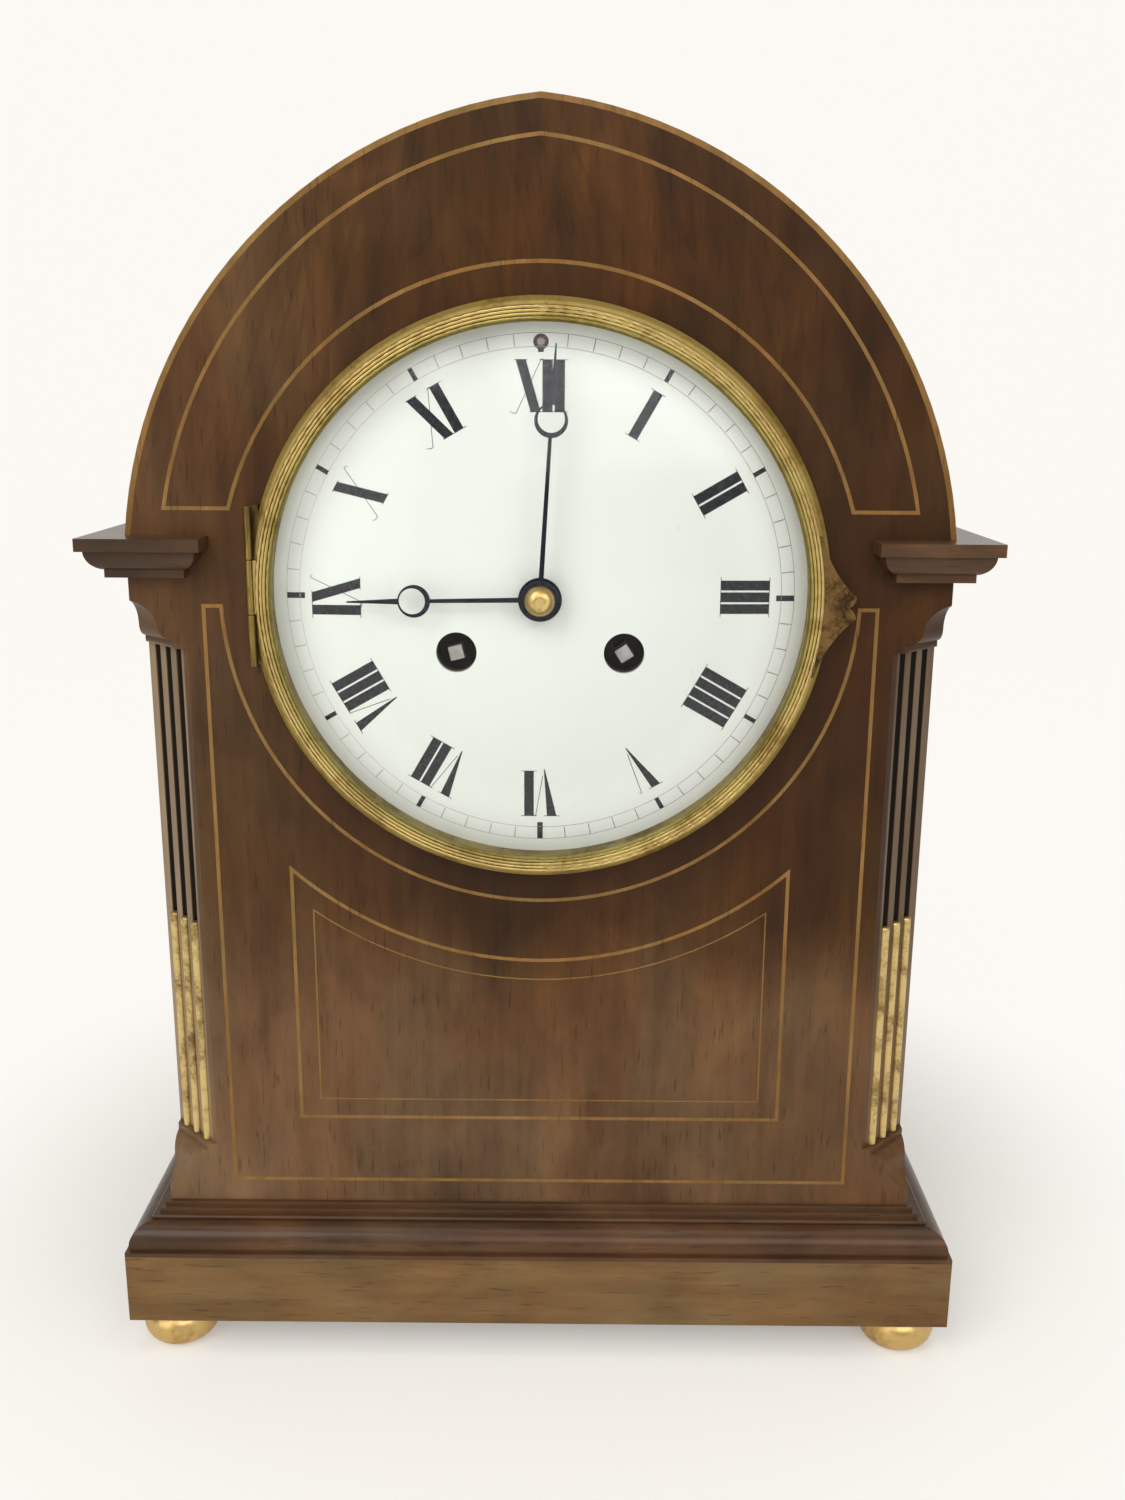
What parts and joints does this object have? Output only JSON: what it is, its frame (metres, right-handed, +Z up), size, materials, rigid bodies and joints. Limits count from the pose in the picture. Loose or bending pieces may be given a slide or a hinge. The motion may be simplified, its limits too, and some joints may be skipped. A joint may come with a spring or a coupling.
{
  "type": "mantel clock",
  "caption": "Pointed-arch mantel clock: inlaid mahogany case with fluted canted corners, hinged glazed bezel, enamel dial, striking pendulum movement and rear door.",
  "frame": {"origin": "on the surface that the feet stand on, under the middle of the whole clock", "axes": "+X to the right seen from the front, +Y to the back, +Z up; the dial faces -Y"},
  "size_m": [0.2294, 0.1634, 0.3321],
  "materials": {
    "mahogany_front": "French-polished mahogany, upright streaky figure",
    "mahogany_post": "French-polished mahogany",
    "mahogany_side": "French-polished mahogany",
    "mahogany_roof": "French-polished mahogany, bent over the arch",
    "mahogany_back": "thinly polished mahogany",
    "mahogany_moulding": "French-polished mahogany, darker",
    "mahogany_plinth": "faded French-polished mahogany, level figure",
    "boxwood": "polished boxwood",
    "brass_rod": "aged brass rod",
    "brass_foot": "aged turned brass",
    "brass_bezel": "aged lacquered brass, tarnish in the grooves",
    "brass_rear": "aged brass",
    "glass": "clear convex glass",
    "enamel": "gloss white vitreous enamel",
    "copper_plate": "dull metal backing plate",
    "blued_steel": "blued steel, nearly black",
    "brass_collet": "polished brass",
    "brass_movement": "clean brass with steel pinions",
    "steel_work": "polished steel",
    "brass_bob": "lacquered brass",
    "gong_steel": "blued steel wire",
    "iron_block": "cast iron"
  },
  "bodies": {
    "case": {"front_panel": "mahogany_front", "boxwood_stringing": "boxwood", "corner_post_left": "mahogany_post", "corner_post_right": "mahogany_post", "stop_flutes": "brass_rod", "side_panel_left": "mahogany_side", "side_panel_right": "mahogany_side", "arch_roof": "mahogany_roof", "back_panel": "mahogany_back", "impost_left": "mahogany_moulding", "impost_right": "mahogany_moulding", "base_moulding": "mahogany_moulding", "plinth_block": "mahogany_plinth", "bun_feet": "brass_foot", "dial_ring": "brass_bezel", "hinge_pins": "brass_bezel", "dial": "enamel", "dial_plate": "copper_plate", "dial_feet": "brass_movement", "rear_door_frame": "brass_rear", "fixing_straps": "brass_rear", "front_plate": "brass_movement", "back_plate": "brass_movement", "plate_pillars": "brass_movement", "pendulum_cock": "brass_movement", "gong": "gong_steel", "gong_block": "iron_block"},
    "bezel": {"bezel_ring": "brass_bezel", "bezel_glass": "glass", "bezel_catch_tab": "brass_bezel"},
    "rear_door": {"rear_door": "brass_rear"},
    "minute_hand": {"minute_hand": "blued_steel", "hand_collet": "brass_collet", "cannon_pinion": "brass_movement"},
    "minute_wheel": {"minute_wheel": "brass_movement"},
    "hour_hand": {"hour_hand": "blued_steel", "hour_wheel": "brass_movement"},
    "centre_wheel": {"centre_wheel": "brass_movement"},
    "going_second": {"going_second_wheel": "brass_movement"},
    "going_barrel": {"going_barrel": "brass_movement"},
    "third_wheel": {"third_wheel": "brass_movement"},
    "escape_wheel": {"escape_wheel": "brass_movement"},
    "going_winder": {"going_winding_arbor": "steel_work"},
    "going_click": {"going_click": "steel_work"},
    "strike_barrel": {"strike_barrel": "brass_movement"},
    "strike_second": {"strike_second_wheel": "brass_movement", "count_wheel": "brass_movement"},
    "pin_wheel": {"pin_wheel": "brass_movement"},
    "warning_wheel": {"warning_wheel": "brass_movement"},
    "fly": {"fly": "brass_movement"},
    "strike_winder": {"strike_winding_arbor": "steel_work"},
    "strike_click": {"strike_click": "steel_work"},
    "hammer": {"hammer": "steel_work"},
    "pendulum": {"pallet_anchor": "steel_work", "suspension_spring": "steel_work", "pendulum_rod": "steel_work", "pendulum_bob": "brass_bob"},
    "rating_nut": {"rating_nut": "brass_movement"},
    "regulator": {"regulator_arbor": "blued_steel"}
  },
  "joints": [
    {"name": "bezel_open", "type": "hinge", "parent": "case", "child": "bezel", "pos_m": [-0.072, -0.07305, 0.21395], "axis": [0, 0, -1], "range_deg": [0, 100]},
    {"name": "rear_door_open", "type": "hinge", "parent": "case", "child": "rear_door", "pos_m": [0.0643, 0.07635, 0.21395], "axis": [0, 0, -1], "range_deg": [0, 110]},
    {"name": "minute_hand_turn", "type": "hinge", "parent": "case", "child": "minute_hand", "pos_m": [0, -0.07375, 0.21395], "axis": [0, 1, 0], "continuous": true},
    {"name": "minute_wheel_turn", "type": "hinge", "parent": "case", "child": "minute_wheel", "pos_m": [0, -0.05615, 0.20275], "axis": [0, 1, 0], "continuous": true},
    {"name": "hour_hand_turn", "type": "hinge", "parent": "case", "child": "hour_hand", "pos_m": [0, -0.07115, 0.21395], "axis": [0, 1, 0], "continuous": true},
    {"name": "centre_wheel_turn", "type": "hinge", "parent": "case", "child": "centre_wheel", "pos_m": [0, -0.03215, 0.21395], "axis": [0, 1, 0], "continuous": true},
    {"name": "going_second_turn", "type": "hinge", "parent": "case", "child": "going_second", "pos_m": [0.01475, -0.03215, 0.22111], "axis": [0, 1, 0], "continuous": true},
    {"name": "going_barrel_turn", "type": "hinge", "parent": "case", "child": "going_barrel", "pos_m": [0.0215, -0.03215, 0.19965], "axis": [0, 1, 0], "continuous": true},
    {"name": "third_wheel_turn", "type": "hinge", "parent": "case", "child": "third_wheel", "pos_m": [-0.00135, -0.03215, 0.22936], "axis": [0, 1, 0], "continuous": true},
    {"name": "escape_wheel_turn", "type": "hinge", "parent": "case", "child": "escape_wheel", "pos_m": [0, -0.03215, 0.24426], "axis": [0, 1, 0], "continuous": true},
    {"name": "going_wind", "type": "hinge", "parent": "case", "child": "going_winder", "pos_m": [0.0215, -0.06665, 0.19965], "axis": [0, 1, 0], "continuous": true},
    {"name": "going_click_lift", "type": "hinge", "parent": "case", "child": "going_click", "pos_m": [0.0215, -0.05215, 0.18565], "axis": [0, -1, 0], "range_deg": [0, 12], "stiffness_Nm_per_rad": 0.002},
    {"name": "pin_wheel_turn", "type": "hinge", "parent": "case", "child": "pin_wheel", "pos_m": [-0.02321, -0.03215, 0.23632], "axis": [0, 1, 0], "continuous": true},
    {"name": "strike_second_turn", "type": "hinge", "parent": "case", "child": "strike_second", "pos_m": [-0.02072, -0.03215, 0.22213], "axis": [0, 1, 0], "continuous": true},
    {"name": "strike_barrel_turn", "type": "hinge", "parent": "case", "child": "strike_barrel", "pos_m": [-0.0215, -0.03215, 0.19965], "axis": [0, 1, 0], "continuous": true},
    {"name": "warning_wheel_turn", "type": "hinge", "parent": "case", "child": "warning_wheel", "pos_m": [-0.01427, -0.03215, 0.23957], "axis": [0, 1, 0], "continuous": true},
    {"name": "fly_turn", "type": "hinge", "parent": "case", "child": "fly", "pos_m": [-0.01473, -0.03215, 0.24836], "axis": [0, 1, 0], "continuous": true},
    {"name": "strike_wind", "type": "hinge", "parent": "case", "child": "strike_winder", "pos_m": [-0.0215, -0.06665, 0.19965], "axis": [0, 1, 0], "continuous": true},
    {"name": "strike_click_lift", "type": "hinge", "parent": "case", "child": "strike_click", "pos_m": [-0.0215, -0.05215, 0.18565], "axis": [0, -1, 0], "range_deg": [0, 12], "stiffness_Nm_per_rad": 0.002},
    {"name": "hammer_lift", "type": "hinge", "parent": "case", "child": "hammer", "pos_m": [-0.038, -0.03215, 0.21895], "axis": [0, 1, 0], "range_deg": [0, 8]},
    {"name": "pendulum_swing", "type": "hinge", "parent": "case", "child": "pendulum", "pos_m": [0, 0.00185, 0.25646], "axis": [0, 1, 0], "range_deg": [-3.5, 3.5]},
    {"name": "rating_nut_turn", "type": "hinge", "parent": "pendulum", "child": "rating_nut", "pos_m": [0, 0.00185, 0.09976], "axis": [0, 0, 1], "range_deg": [-360, 360]},
    {"name": "regulator_turn", "type": "hinge", "parent": "case", "child": "regulator", "pos_m": [0, -0.06465, 0.27645], "axis": [0, 1, 0], "range_deg": [-360, 360]}
  ],
  "couplings": [
    {"joint": "minute_wheel_turn", "follows": "minute_hand_turn", "ratio": -0.33333},
    {"joint": "hour_hand_turn", "follows": "minute_hand_turn", "ratio": 0.083333},
    {"joint": "going_second_turn", "follows": "centre_wheel_turn", "ratio": -0.13889},
    {"joint": "going_barrel_turn", "follows": "centre_wheel_turn", "ratio": 0.017361},
    {"joint": "third_wheel_turn", "follows": "centre_wheel_turn", "ratio": -12},
    {"joint": "escape_wheel_turn", "follows": "centre_wheel_turn", "ratio": 120},
    {"joint": "strike_second_turn", "follows": "pin_wheel_turn", "ratio": -0.125},
    {"joint": "strike_barrel_turn", "follows": "pin_wheel_turn", "ratio": 0.015625},
    {"joint": "warning_wheel_turn", "follows": "pin_wheel_turn", "ratio": -6},
    {"joint": "fly_turn", "follows": "pin_wheel_turn", "ratio": 41.143}
  ]
}
